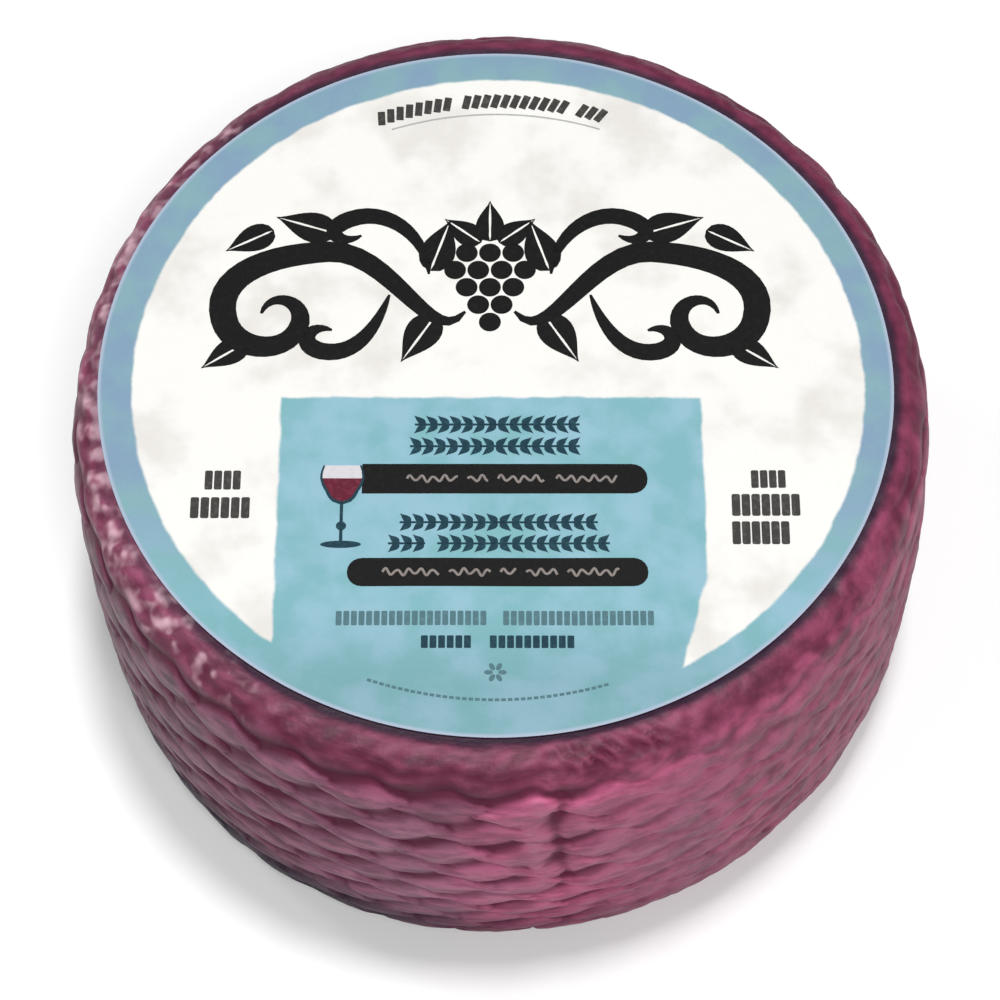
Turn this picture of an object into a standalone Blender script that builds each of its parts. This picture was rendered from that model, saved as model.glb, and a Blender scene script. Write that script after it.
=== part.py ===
"""A wheel of goat's cheese washed in red wine, with a round paper label on its top.

The side carries the print of the plaited band that the curd was pressed in: rows of
slanted, rope-like lobes with wavy grooves between them, and one upright seam where
the two ends of the band met. All lengths are in metres, +Z is up, and the wheel
stands on its flat base with the middle of that base's box at the origin.
"""

import bisect
import math

import bmesh
import bpy
from mathutils import Vector

# The wheel: heights are above the floor, radii are from its upright axis
WHEEL_HEIGHT = 0.084
BELLY_RADIUS = 0.0902
BELLY_SWELL = 0.0022
SHOULDER_ROUND = 0.0080
FOOT_ROUND = 0.0118

# Hand-made unevenness: how far the outline leaves a true circle, and the base's lean to +X
OVAL_SHARE = -0.0164
SKEW_SHARE = 0.0070
THREE_SIDED_SHARE = 0.0049
LEAN = 0.0021

# The paper label
LABEL_RADIUS = 0.080
LABEL_THICKNESS = 0.0003
LABEL_GAP = 0.0003
LABEL_SHIFT = Vector((-0.0004, 0.0004))
LABEL_SIDES = 96

# The plaited print on the side. Arcs are measured down the side from the edge of the flat top
FIRST_GROOVE_ARC = 0.0123
ROW_COUNT = 10
TOP_ROW_PITCH = 0.0103
LEAST_ROW_PITCH = 0.0050
ROW_SHRINK = 0.0008
LOBES_PER_ROW = 36
FIRST_LOBE = 0.23
LOBE_SLANT = -0.30
LOBE_RISE = 0.25
CREST_SHIFT = 0.12
GROOVE_WAVE = 0.0017
GROOVE_SHARPNESS = 2.2
PRINT_DEPTH = 0.0015
SHALLOW_GROOVE = 0.7
LOBE_END_DEPTH = 0.40
LOBE_END_SHARPNESS = 3
FAINT_PRINT = 0.72
PATCHES_ROUND = 3
PATCH_START = 0.7
PATCH_PITCH = 0.105
SEAM_TURN = 0.2660
SEAM_HALF_WIDTH = 0.0035
SEAM_DEPTH = 0.0009
SEAM_FADE = 0.030

# How finely the solid is faceted
COLUMNS_PER_LOBE = 4
RINGS_PER_ROW = 3
SHOULDER_RINGS = 5
FOOT_RINGS = 3
ROUND_STEPS = 24
BELLY_STEPS = 24

RIND_COLOUR = (0.27, 0.085, 0.145, 1.0)
PAPER_COLOUR = (0.62, 0.80, 0.84, 1.0)

TOP_HEIGHT = WHEEL_HEIGHT - LABEL_THICKNESS - LABEL_GAP
COLUMNS = LOBES_PER_ROW * COLUMNS_PER_LOBE
FULL_TURN = 2 * math.pi


def clear_scene():
    for thing in list(bpy.data.objects):
        bpy.data.objects.remove(thing)


def smooth_step(low, high, value):
    share = min(1.0, max(0.0, (value - low) / (high - low)))
    return share * share * (3 - 2 * share)


def belly_radius(height):
    """The side's radius before its corners are rounded: widest at half height."""
    from_middle = (height - TOP_HEIGHT / 2) / (TOP_HEIGHT / 2)
    return BELLY_RADIUS - BELLY_SWELL * from_middle**2


def side_outline():
    """(radius, height) from the edge of the flat top, down the side, to the edge of the flat base."""
    outline = []
    for step in range(ROUND_STEPS + 1):
        angle = math.pi / 2 * step / ROUND_STEPS
        height = TOP_HEIGHT - SHOULDER_ROUND * (1 - math.cos(angle))
        outline.append((belly_radius(height) - SHOULDER_ROUND * (1 - math.sin(angle)), height))
    straight = TOP_HEIGHT - SHOULDER_ROUND - FOOT_ROUND
    for step in range(1, BELLY_STEPS):
        height = TOP_HEIGHT - SHOULDER_ROUND - straight * step / BELLY_STEPS
        outline.append((belly_radius(height), height))
    for step in range(ROUND_STEPS + 1):
        angle = math.pi / 2 * step / ROUND_STEPS
        height = FOOT_ROUND * (1 - math.sin(angle))
        outline.append((belly_radius(height) - FOOT_ROUND * (1 - math.cos(angle)), height))
    return outline


class Side:
    """The smooth side, read by the distance down it from the edge of the flat top."""

    def __init__(self):
        self.points = [Vector(point) for point in side_outline()]
        self.arcs = [0.0]
        for upper, lower in zip(self.points, self.points[1:]):
            self.arcs.append(self.arcs[-1] + (lower - upper).length)
        self.length = self.arcs[-1]

    def at(self, arc):
        """The point (radius, height) there, and the outward normal in the same plane."""
        arc = min(max(arc, 0.0), self.length)
        index = min(bisect.bisect_right(self.arcs, arc), len(self.arcs) - 1)
        upper, lower = self.points[index - 1], self.points[index]
        share = (arc - self.arcs[index - 1]) / (self.arcs[index] - self.arcs[index - 1])
        along = (lower - upper).normalized()
        return upper.lerp(lower, share), Vector((-along.y, along.x))


def out_of_round(angle):
    """How much the wheel's radius is scaled at this angle round its axis."""
    return (
        1
        + OVAL_SHARE * math.cos(2 * angle)
        + SKEW_SHARE * math.sin(2 * angle)
        + THREE_SIDED_SHARE * math.cos(3 * angle)
    )


def print_strength(turn, arc, side):
    """The print comes and goes a little round the wheel, and ends at both flat faces."""
    round_wheel = math.sin(FULL_TURN * PATCHES_ROUND * turn + PATCH_START)
    patches = round_wheel * math.cos(FULL_TURN * (arc / PATCH_PITCH + 2 * turn))
    uneven = (1 + FAINT_PRINT) / 2 + (1 - FAINT_PRINT) / 2 * patches
    at_shoulder = smooth_step(0.0, FIRST_GROOVE_ARC, arc)
    at_foot = smooth_step(0.0, 0.8 * FOOT_ROUND, side.length - arc)
    return uneven * at_shoulder * at_foot


def groove_arcs():
    """How far down the side each groove lies: the rows grow narrower towards the foot."""
    arcs = [FIRST_GROOVE_ARC]
    for row in range(ROW_COUNT):
        arcs.append(arcs[-1] + max(TOP_ROW_PITCH - ROW_SHRINK * row, LEAST_ROW_PITCH))
    return arcs


def groove_depth(groove):
    """Every second groove is a deep one, between two bands of the plait."""
    return 1.0 if groove % 2 == 0 else SHALLOW_GROOVE


def lobe_carving(across_row, across_lobe, groove):
    """0 on the crown of a lobe, 1 in a deep groove. Both positions run from -1 to 1."""
    crown = LOBE_RISE * across_lobe * (1 - across_row**2)
    beside_row = min(1.0, abs(across_row + crown)) ** GROOVE_SHARPNESS
    between_lobes = LOBE_END_DEPTH * abs(across_lobe) ** LOBE_END_SHARPNESS * (1 - beside_row)
    return beside_row * groove_depth(groove) + between_lobes


def groove_wave(phase):
    """How far a groove rises over the lobes below it: it dips between them, and crests to their right."""
    skewed = phase - CREST_SHIFT * math.sin(math.pi * phase) ** 2
    return -GROOVE_WAVE * math.cos(FULL_TURN * skewed)


def seam_carving(turn, arc, side):
    """The upright groove where the ends of the plaited band met."""
    off = (turn - SEAM_TURN) * FULL_TURN * BELLY_RADIUS
    below_shoulder = smooth_step(FIRST_GROOVE_ARC, 1.5 * FIRST_GROOVE_ARC, arc)
    above_foot = smooth_step(0.0, SEAM_FADE, side.length - arc)
    return SEAM_DEPTH * below_shoulder * above_foot * math.exp(-((off / SEAM_HALF_WIDTH) ** 2))


def rind_point(side, turn, arc, carved):
    """A point of the rind. Turn runs from 0 to 1 round the wheel, starting at -X."""
    angle = FULL_TURN * turn - math.pi
    spot, normal = side.at(arc)
    radius = (spot.x - normal.x * carved) * out_of_round(angle)
    height = spot.y - normal.y * carved
    lean = LEAN * (1 - height / TOP_HEIGHT)
    return Vector((lean + radius * math.cos(angle), radius * math.sin(angle), height))


def plain_ring(side, arc):
    return [rind_point(side, column / COLUMNS, arc, 0.0) for column in range(COLUMNS)]


def shoulder_ring(side, step):
    """A ring between the flat top and the first groove, carved more as it nears the groove."""
    share = step / SHOULDER_RINGS
    points = []
    for column in range(COLUMNS):
        turn = column / COLUMNS
        wave = groove_wave(column / COLUMNS_PER_LOBE + FIRST_LOBE)
        arc = FIRST_GROOVE_ARC * share - wave * share**3
        carved = PRINT_DEPTH * lobe_carving(share, 0.0, 0) * print_strength(turn, arc, side)
        points.append(rind_point(side, turn, arc, carved))
    return points


def print_ring(side, row, step):
    """One ring of the print, which follows the slant of the lobes and the wave of the grooves."""
    share = step / RINGS_PER_ROW
    across_row = 2 * share - 1
    groove = row if across_row < 0 else row + 1
    slant = 0.5 * LOBE_SLANT * (1 - abs(across_row)) * math.copysign(1, across_row)
    upper, lower = groove_arcs()[row : row + 2]
    points = []
    for column in range(COLUMNS):
        lobe = column / COLUMNS_PER_LOBE
        phase = lobe + FIRST_LOBE + row / 2
        across_lobe = 2 * (phase % 1) - 1
        turn = (lobe + slant) / LOBES_PER_ROW
        wave = groove_wave(phase) * (1 - share) ** 2 + groove_wave(phase + 0.5) * share**2
        arc = upper + (lower - upper) * share - wave
        carved = PRINT_DEPTH * lobe_carving(across_row, across_lobe, groove)
        carved = carved * print_strength(turn, arc, side) + seam_carving(turn, arc, side)
        points.append(rind_point(side, turn, arc, carved))
    return points


def build_wheel():
    """Rings of points down the side, joined ring to ring, with a flat top and a flat base."""
    side = Side()
    rings = [shoulder_ring(side, step) for step in range(SHOULDER_RINGS)]
    rings += [print_ring(side, row, step) for row in range(ROW_COUNT) for step in range(RINGS_PER_ROW)]
    last_groove = groove_arcs()[-1]
    for step in range(FOOT_RINGS + 1):
        rings.append(plain_ring(side, last_groove + (side.length - last_groove) * step / FOOT_RINGS))

    shape = bmesh.new()
    loops = [[shape.verts.new(point) for point in ring] for ring in rings]
    for upper, lower in zip(loops, loops[1:]):
        for index in range(COLUMNS):
            after = (index + 1) % COLUMNS
            shape.faces.new((upper[index], lower[index], lower[after], upper[after]))
    shape.faces.new(loops[0])
    shape.faces.new(list(reversed(loops[-1])))
    bmesh.ops.recalc_face_normals(shape, faces=shape.faces)
    return shape


def build_label():
    """A thin round sheet that lies over the flat top."""
    shape = bmesh.new()
    bmesh.ops.create_circle(shape, cap_ends=True, segments=LABEL_SIDES, radius=LABEL_RADIUS)
    raised = bmesh.ops.extrude_face_region(shape, geom=list(shape.faces))
    upper = [item for item in raised["geom"] if isinstance(item, bmesh.types.BMVert)]
    bmesh.ops.translate(shape, verts=upper, vec=(0, 0, LABEL_THICKNESS))
    place = LABEL_SHIFT.to_3d() + Vector((0, 0, TOP_HEIGHT + LABEL_GAP))
    bmesh.ops.translate(shape, verts=shape.verts, vec=place)
    bmesh.ops.recalc_face_normals(shape, faces=shape.faces)
    return shape


def middle_of(shape):
    """The middle of the shape's box, at height 0."""
    middle = Vector((0, 0, 0))
    for axis in (0, 1):
        values = [vert.co[axis] for vert in shape.verts]
        middle[axis] = (min(values) + max(values)) / 2
    return middle


def plain_material(name, colour, roughness):
    material = bpy.data.materials.new(name)
    material.use_nodes = True
    surface = material.node_tree.nodes["Principled BSDF"]
    surface.inputs["Base Color"].default_value = colour
    surface.inputs["Roughness"].default_value = roughness
    surface.inputs["Metallic"].default_value = 0.0
    return material


def add_node(name, shape, material):
    mesh = bpy.data.meshes.new(name)
    shape.to_mesh(mesh)
    shape.free()
    mesh.materials.append(material)
    mesh.shade_smooth()
    mesh.set_sharp_from_angle(angle=math.radians(50))
    thing = bpy.data.objects.new(name, mesh)
    bpy.context.scene.collection.objects.link(thing)


def main():
    clear_scene()
    wheel = build_wheel()
    label = build_label()
    middle = middle_of(wheel)
    for shape in (wheel, label):
        bmesh.ops.translate(shape, verts=shape.verts, vec=-middle)
    add_node("cheese_wheel", wheel, plain_material("wine_rind", RIND_COLOUR, 0.5))
    add_node("paper_label", label, plain_material("label_paper", PAPER_COLOUR, 0.55))


main()
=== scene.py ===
# %% [markdown]
# # A wheel of goat's cheese washed in red wine
#
# The real thing is a drum of pressed curd, about 180 mm across and 84 mm high. The curd is pressed
# inside a band of plaited grass, which prints rows of slanted lobes on the side. The wheel is then
# bathed in red wine, which stains the rind purple, and a round paper label is laid on its top.
#
# The solids that this script loads have the true size and the main relief. The script dresses them:
# a finer rind over the same form, a sheet of paper that follows it, the label's print as thin shapes
# of ink, and one procedural material for each finish. Every length is in metres and +Z is up.

# %% Load the solids
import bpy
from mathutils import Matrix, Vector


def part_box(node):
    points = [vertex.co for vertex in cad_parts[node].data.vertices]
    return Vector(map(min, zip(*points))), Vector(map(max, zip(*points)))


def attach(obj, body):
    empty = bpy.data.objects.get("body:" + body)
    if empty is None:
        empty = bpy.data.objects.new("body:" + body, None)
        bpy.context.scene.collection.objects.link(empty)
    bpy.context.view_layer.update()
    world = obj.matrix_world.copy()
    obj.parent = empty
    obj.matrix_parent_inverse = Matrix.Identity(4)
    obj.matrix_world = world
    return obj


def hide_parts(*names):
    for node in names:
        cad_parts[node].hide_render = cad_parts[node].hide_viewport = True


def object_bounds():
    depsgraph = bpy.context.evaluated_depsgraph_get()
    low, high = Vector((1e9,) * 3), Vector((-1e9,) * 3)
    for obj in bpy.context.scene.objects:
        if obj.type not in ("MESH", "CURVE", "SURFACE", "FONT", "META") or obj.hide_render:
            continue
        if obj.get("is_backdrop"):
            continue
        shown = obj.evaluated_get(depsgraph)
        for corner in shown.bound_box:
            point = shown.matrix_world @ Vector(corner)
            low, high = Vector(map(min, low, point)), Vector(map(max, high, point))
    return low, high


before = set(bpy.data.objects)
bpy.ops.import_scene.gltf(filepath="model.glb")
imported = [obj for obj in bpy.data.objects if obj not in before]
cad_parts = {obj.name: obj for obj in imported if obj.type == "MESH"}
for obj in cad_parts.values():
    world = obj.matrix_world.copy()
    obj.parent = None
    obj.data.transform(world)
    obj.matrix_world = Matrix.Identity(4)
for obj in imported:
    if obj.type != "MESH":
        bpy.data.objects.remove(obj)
solid_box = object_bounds()
print("solids:", sorted(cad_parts))

# %% Modules and two small helpers
import math

import bmesh
import bpy
from mathutils import Matrix, Vector, noise
from mathutils.geometry import interpolate_bezier

MM = 0.001
FULL_TURN = 2 * math.pi
scene = bpy.context.scene


def smooth_step(low, high, value):
    """0 below low, 1 above high, and a smooth rise between them."""
    share = min(1.0, max(0.0, (value - low) / (high - low)))
    return share * share * (3 - 2 * share)


def screen_colour(red, green, blue):
    """A colour as a screen shows it, 0 to 255, turned into the linear light that a shader wants."""
    linear = [((part / 255 + 0.055) / 1.055) ** 2.4 for part in (red, green, blue)]
    return (*linear, 1.0)


# %% [markdown]
# ## A short way to write shaders
#
# Dozens of Math nodes are hard to read in code. So a small class wraps a socket and gives it the
# operators of arithmetic, and `1 - mask` or `mask * 0.4` adds the Math node by itself. A second
# class holds one material: it adds any node, and knows the few steps that the finishes share: a soft
# cloud of noise, a smooth threshold, a blend of two colours and a bump.


# %% Values: sockets that can be added and multiplied
class Value:
    """A node's output. Arithmetic on it adds Math nodes."""

    def __init__(self, paint, socket):
        self.paint = paint
        self.socket = socket

    def maths(self, operation, first, second):
        return self.paint.node("ShaderNodeMath", {"operation": operation}, {0: first, 1: second})

    def __add__(self, other):
        return self.maths("ADD", self, other)

    def __radd__(self, other):
        return self.maths("ADD", other, self)

    def __sub__(self, other):
        return self.maths("SUBTRACT", self, other)

    def __rsub__(self, other):
        return self.maths("SUBTRACT", other, self)

    def __mul__(self, other):
        return self.maths("MULTIPLY", self, other)

    def __rmul__(self, other):
        return self.maths("MULTIPLY", other, self)


# %% Paint: the nodes of one material
class Paint:
    """The nodes that feed one surface."""

    def __init__(self, tree, surface):
        self.tree = tree
        self.surface = tree.nodes[surface]
        self.place = self.node("ShaderNodeTexCoord", {}, {}, "Object")

    def node(self, kind, settings, inputs, output=0):
        """Adds a node, makes its settings, then gives its sockets their values or links."""
        made = self.tree.nodes.new(kind)
        for name, setting in settings.items():
            setattr(made, name, setting)
        for name, value in inputs.items():
            self.feed(made.inputs[name], value)
        return Value(self, made.outputs[output])

    def feed(self, socket, value):
        if isinstance(value, Value):
            self.tree.links.new(value.socket, socket)
        else:
            socket.default_value = value

    def finish(self, inputs):
        for name, value in inputs.items():
            self.feed(self.surface.inputs[name], value)

    def attribute(self, name):
        settings = {"attribute_type": "GEOMETRY", "attribute_name": name}
        return self.node("ShaderNodeAttribute", settings, {}, "Fac")

    def vector(self, x, y, z):
        return self.node("ShaderNodeCombineXYZ", {}, {"X": x, "Y": y, "Z": z})

    def cloud(self, size, detail=2.0, start=(0, 0, 0), place=None):
        """Noise around 0.5, with blobs about this size, in space or at a place of its own."""
        inputs = {"Vector": place or self.place, "Location": start}
        moved = self.node("ShaderNodeMapping", {"vector_type": "POINT"}, inputs)
        return self.node("ShaderNodeTexNoise", {}, {"Vector": moved, "Scale": 1 / size, "Detail": detail})

    def rise(self, value, low, high):
        """0 where the value is below low, 1 above high, smooth between them."""
        inputs = {"Value": value, "From Min": low, "From Max": high}
        return self.node("ShaderNodeMapRange", {"interpolation_type": "SMOOTHSTEP"}, inputs)

    def blend(self, share, none, full):
        """The first colour where the share is 0, the second where it is 1."""
        settings = {"data_type": "RGBA", "clamp_factor": True}
        return self.node("ShaderNodeMix", settings, {"Factor": share, 6: none, 7: full}, 2)

    def shade(self, colour, light):
        """The colour made lighter or darker by a grey value."""
        settings = {"data_type": "RGBA", "blend_type": "MULTIPLY"}
        grey = self.node("ShaderNodeCombineColor", {}, {0: light, 1: light, 2: light})
        return self.node("ShaderNodeMix", settings, {"Factor": 1.0, 6: colour, 7: grey}, 2)

    def bump(self, height, depth):
        """A normal that is tilted as if the surface stood up by this depth where the height is 1."""
        return self.node("ShaderNodeBump", {}, {"Height": height, "Distance": depth, "Strength": 1.0})

    def axes(self, centre):
        """The place on the surface as three numbers, measured from this centre."""
        moved = self.node("ShaderNodeVectorMath", {"operation": "SUBTRACT"}, {0: self.place, 1: centre})
        parts = self.node("ShaderNodeSeparateXYZ", {}, {"Vector": moved})
        outputs = parts.socket.node.outputs
        return [Value(self, outputs[index]) for index in range(3)]

    def reach(self, x, y):
        """The distance from the upright line where x and y are 0."""
        flat = self.vector(x, y, 0.0)
        return self.node("ShaderNodeVectorMath", {"operation": "LENGTH"}, {0: flat}, "Value")


def new_material(name, finish):
    """A material that uses nodes, with what is the same all over it, and the paint that feeds it."""
    material = bpy.data.materials.new(name)
    material.use_nodes = True
    paint = Paint(material.node_tree, "Principled BSDF")
    paint.finish(finish)
    return material, paint


# %% [markdown]
# ## The viewpoint
#
# The wheel is seen from the front, at 61 degrees over the horizon, through a long lens from 640 mm
# away. The camera is placed from the label's middle, which gives the wheel's axis, and looks a little
# below the label, so that the whole side is in view.

# %% Camera
VIEW_ELEVATION = math.radians(61.15)
VIEW_DISTANCE = 640 * MM
VIEW_SIDESTEP = 0.46 * MM
VIEW_DROP = 25.0 * MM
SENSOR_WIDTH = 36.0
LENS = 114.6
LABEL_SHIFT = Vector((-0.4 * MM, 0.4 * MM, 0))

label_low, label_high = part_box("paper_label")
label_middle = Vector(((label_low.x + label_high.x) / 2, (label_low.y + label_high.y) / 2, 0))
wheel_axis = label_middle - LABEL_SHIFT

towards_camera = Vector((0, -math.cos(VIEW_ELEVATION), math.sin(VIEW_ELEVATION)))
picture_up = Vector((0, math.sin(VIEW_ELEVATION), math.cos(VIEW_ELEVATION)))
lens = bpy.data.cameras.new("camera")
lens.sensor_width = SENSOR_WIDTH
lens.lens = LENS
camera = bpy.data.objects.new("camera", lens)
camera.location = (
    wheel_axis
    + Vector((VIEW_SIDESTEP, 0, label_high.z))
    + towards_camera * VIEW_DISTANCE
    - picture_up * VIEW_DROP
)
camera.rotation_euler = (math.pi / 2 - VIEW_ELEVATION, 0, 0)
scene.collection.objects.link(camera)
scene.camera = camera
print("camera at", [round(part, 3) for part in camera.location])

# %% [markdown]
# ## Floor and sky
#
# The wheel stands on a plain white floor under a soft white sky. A white floor throws back so much
# light that the low relief on the side would vanish, so the floor is left out of the bounced light,
# and the sky gives a dimmer glow from below the horizon instead. The Standard view keeps the white
# paper white: the default view would grey it.

# %% Floor and sky
FLOOR_SIZE = 6.0
SKY_LIGHT = 0.16
FLOOR_GLOW = 0.24
HORIZON_BLUR = 0.08
FLOOR_EMISSION = 0.04
FLOOR_TONES = ((0.96, 0.96, 0.96, 1), (0.98, 0.98, 0.98, 1))

floor_shape = bmesh.new()
bmesh.ops.create_grid(floor_shape, x_segments=1, y_segments=1, size=FLOOR_SIZE / 2)
floor_mesh = bpy.data.meshes.new("floor")
floor_shape.to_mesh(floor_mesh)
floor_shape.free()
floor = bpy.data.objects.new("floor", floor_mesh)
floor.visible_diffuse = False
scene.collection.objects.link(floor)
floor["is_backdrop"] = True

floor_finish = {"Roughness": 0.9, "Specular IOR Level": 0.0, "Emission Strength": FLOOR_EMISSION}
floor_white, floor_paint = new_material("floor_white", floor_finish)
floor_tone = floor_paint.cloud(500 * MM, detail=1.0)
floor_paint.finish({"Base Color": floor_paint.blend(floor_tone, *FLOOR_TONES)})
floor_mesh.materials.append(floor_white)

sky = bpy.data.worlds.new("sky")
sky.use_nodes = True
sky_paint = Paint(sky.node_tree, "Background")
direction = sky_paint.node("ShaderNodeTexCoord", {}, {}, "Generated")
upwards = sky_paint.node("ShaderNodeSeparateXYZ", {}, {"Vector": direction}, "Z")
from_above = sky_paint.rise(upwards, -HORIZON_BLUR, HORIZON_BLUR)
sky_paint.finish({"Color": (1, 1, 1, 1), "Strength": FLOOR_GLOW + from_above * (SKY_LIGHT - FLOOR_GLOW)})
scene.world = sky
scene.view_settings.view_transform = "Standard"
print("floor", FLOOR_SIZE, "m, sky", SKY_LIGHT, "above and", FLOOR_GLOW, "below")

# %% [markdown]
# ## Lamps
#
# Three round lamps stand in for a photographer's softboxes. A large one, high up at the front, lights
# the label and the side. A smaller one almost overhead, a little back and to the right, lights the
# upper half of each lobe, and casts the short shadow that hugs the foot at the front left. A small
# one far back on the left puts the wet glints on that shoulder.


# %% Lamps
def softbox(name, place, size, power):
    """A round lamp that looks at the wheel's middle height."""
    light = bpy.data.lights.new(name, "AREA")
    light.shape = "DISK"
    light.size = size
    light.energy = power
    lamp = bpy.data.objects.new(name, light)
    lamp.location = place
    lamp.rotation_euler = (Vector((0, 0, 0.04)) - Vector(place)).to_track_quat("-Z", "Y").to_euler()
    scene.collection.objects.link(lamp)


softbox("front_softbox", (0.20, -1.19, 2.12), 0.8, 27.5)
softbox("top_softbox", (0.10, 0.11, 2.38), 0.32, 25.5)
softbox("glint_softbox", (-1.2, 0.7, 1.1), 0.30, 3.0)
print("lamps:", [item.name for item in bpy.data.lights])

# %% [markdown]
# ## The rind: its plain form
#
# A pressed wheel is a turned shape that is a little out of round. Its side could be a stack of
# extruded rings, or a circle that is lofted, but a spin of one outline is the shortest way, and
# leaves an even net of faces that can be carved. The outline starts under the label, runs out over
# the flat top, down a quarter round, a belly that swells by 2 mm and a wider quarter round at the
# foot, and back in under the base. Each point remembers its distance down the side from the edge of
# the top, less than 0 on the top itself, which the carving and the colours read later.

# %% The outline of the side
TOP_HEIGHT = 83.4 * MM
BELLY_RADIUS = 90.2 * MM
BELLY_SWELL = 2.2 * MM
SHOULDER_ROUND = 8.0 * MM
FOOT_ROUND = 11.8 * MM
CORNER_STEPS = 24


def belly_radius(height):
    from_middle = (height - TOP_HEIGHT / 2) / (TOP_HEIGHT / 2)
    return BELLY_RADIUS - BELLY_SWELL * from_middle**2


def quarter_round(radius, share):
    """A quarter round's distance from the two straight lines that it joins."""
    angle = math.pi / 2 * share
    return radius * (1 - math.sin(angle)), radius * (1 - math.cos(angle))


def side_outline():
    """Points (radius, height) from the edge of the flat top to the edge of the flat base."""
    shares = [step / CORNER_STEPS for step in range(CORNER_STEPS + 1)]
    straight = TOP_HEIGHT - SHOULDER_ROUND - FOOT_ROUND
    places = []
    for share in shares:
        inset, drop = quarter_round(SHOULDER_ROUND, share)
        places.append((inset, TOP_HEIGHT - drop))
    for share in shares[1:-1]:
        places.append((0.0, TOP_HEIGHT - SHOULDER_ROUND - straight * share))
    for share in shares:
        height, inset = quarter_round(FOOT_ROUND, share)
        places.append((inset, height))
    return [Vector((belly_radius(height) - inset, height)) for inset, height in places]


outline = side_outline()
outline_arcs = [0.0]
for upper, lower in zip(outline, outline[1:]):
    outline_arcs.append(outline_arcs[-1] + (lower - upper).length)
SIDE_LENGTH = outline_arcs[-1]
print("the side is", round(SIDE_LENGTH / MM, 1), "mm from the top's edge to the base's edge")


# %% A point on the side
def side_at(arc):
    """The point (radius, height) this far down the side, and the outward direction there."""
    if arc <= 0:
        return outline[0] + Vector((arc, 0)), Vector((0, 1))
    if arc >= SIDE_LENGTH:
        return outline[-1] + Vector((SIDE_LENGTH - arc, 0)), Vector((0, -1))
    index = 1
    while outline_arcs[index] < arc:
        index += 1
    upper, lower = outline[index - 1], outline[index]
    share = (arc - outline_arcs[index - 1]) / (outline_arcs[index] - outline_arcs[index - 1])
    along = (lower - upper).normalized()
    return upper.lerp(lower, share), Vector((-along.y, along.x))


# %% Spin the outline
COLUMNS = 720
RING_PITCH = 0.80 * MM
TOP_BAND = 5 * MM
BASE_BAND = 5 * MM


def turned_wheel():
    """The outline spun into a closed drum. The layer 'arc' holds the distance down the side."""
    shape = bmesh.new()
    arc_layer = shape.verts.layers.float.new("arc")
    rings = round((TOP_BAND + SIDE_LENGTH + BASE_BAND) / RING_PITCH)
    profile = []
    for ring in range(rings + 1):
        arc = -TOP_BAND + (TOP_BAND + SIDE_LENGTH + BASE_BAND) * ring / rings
        place = side_at(arc)[0]
        vert = shape.verts.new((place.x, 0, place.y))
        vert[arc_layer] = arc
        profile.append(vert)
    edges = [shape.edges.new(pair) for pair in zip(profile, profile[1:])]
    bmesh.ops.spin(
        shape, geom=profile + edges, cent=(0, 0, 0), axis=(0, 0, 1), dvec=(0, 0, 0),
        angle=FULL_TURN, steps=COLUMNS, use_merge=True,
    )
    bmesh.ops.holes_fill(shape, edges=[edge for edge in shape.edges if edge.is_boundary], sides=0)
    bmesh.ops.recalc_face_normals(shape, faces=shape.faces)
    return shape


wheel = turned_wheel()
print("turned wheel:", len(wheel.verts), "points,", len(wheel.faces), "faces")

# %% [markdown]
# ## The rind: the print of the plaited band
#
# The band is plaited in ten rows of 36 fat lobes that lie like bricks, half a lobe out of step with
# the rows beside them. Each wavy groove rises over the lobe below it and dips where two lobes meet,
# and the rows draw together towards the foot. Each lobe could be stamped in with a Boolean, but a
# rule for how deep each spot is carved follows the curved side exactly, and the same number can
# darken the grooves in the material.
#
# A spot's place in the print is found by going backwards: from its distance down the side to the row
# that holds it, then to its place across that row and along its lobe, each from -1 to 1.

# %% The grooves between the rows
FIRST_GROOVE_ARC = 12.3 * MM
ROW_COUNT = 10
TOP_ROW_PITCH = 10.3 * MM
LEAST_ROW_PITCH = 5.0 * MM
ROW_SHRINK = 0.8 * MM
LOBES_PER_ROW = 36
FIRST_LOBE = 0.23
CREST_SHIFT = 0.12
GROOVE_WAVE = 1.7 * MM

groove_arcs = [FIRST_GROOVE_ARC]
for row in range(ROW_COUNT):
    groove_arcs.append(groove_arcs[-1] + max(TOP_ROW_PITCH - ROW_SHRINK * row, LEAST_ROW_PITCH))


def groove_rise(groove, lobe):
    """How far a groove rises at a place round the wheel. The place is counted in lobes."""
    phase = lobe + FIRST_LOBE + groove / 2
    skewed = phase - CREST_SHIFT * math.sin(math.pi * phase) ** 2
    return -GROOVE_WAVE * math.cos(FULL_TURN * skewed)


def groove_line(groove, lobe):
    """How far down the side a groove runs at that place."""
    return groove_arcs[groove] - groove_rise(groove, lobe)


print("grooves at", [round(arc / MM, 1) for arc in groove_arcs], "mm down the side")

# %% A spot's place in the plait
LOBE_SLANT = -0.115


def share_of_row(row, lobe, arc):
    """How far down its row a spot is, from 0 at the upper groove to 1 at the lower one."""
    above = groove_rise(row, lobe)
    below = groove_rise(row + 1, lobe)
    room = groove_arcs[row + 1] - groove_arcs[row] + 2 * above
    down = arc - groove_arcs[row] + above
    spread = max(0.0, room**2 - 4 * (above + below) * down)
    return min(1.0, max(0.0, 2 * down / (room + math.sqrt(spread))))


def place_in_plait(lobe, arc):
    """The row, the place across it and the place along the lobe. Lobes lean, so it settles in steps."""
    row, across = 0, 0.0
    for settling in range(3):
        upright = lobe - LOBE_SLANT * math.sin(math.pi * across)
        while row < ROW_COUNT - 1 and arc > groove_line(row + 1, upright):
            row += 1
        while row > 0 and arc < groove_line(row, upright):
            row -= 1
        across = 2 * share_of_row(row, upright, arc) - 1
    return row, across, upright + FIRST_LOBE + row / 2


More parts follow.
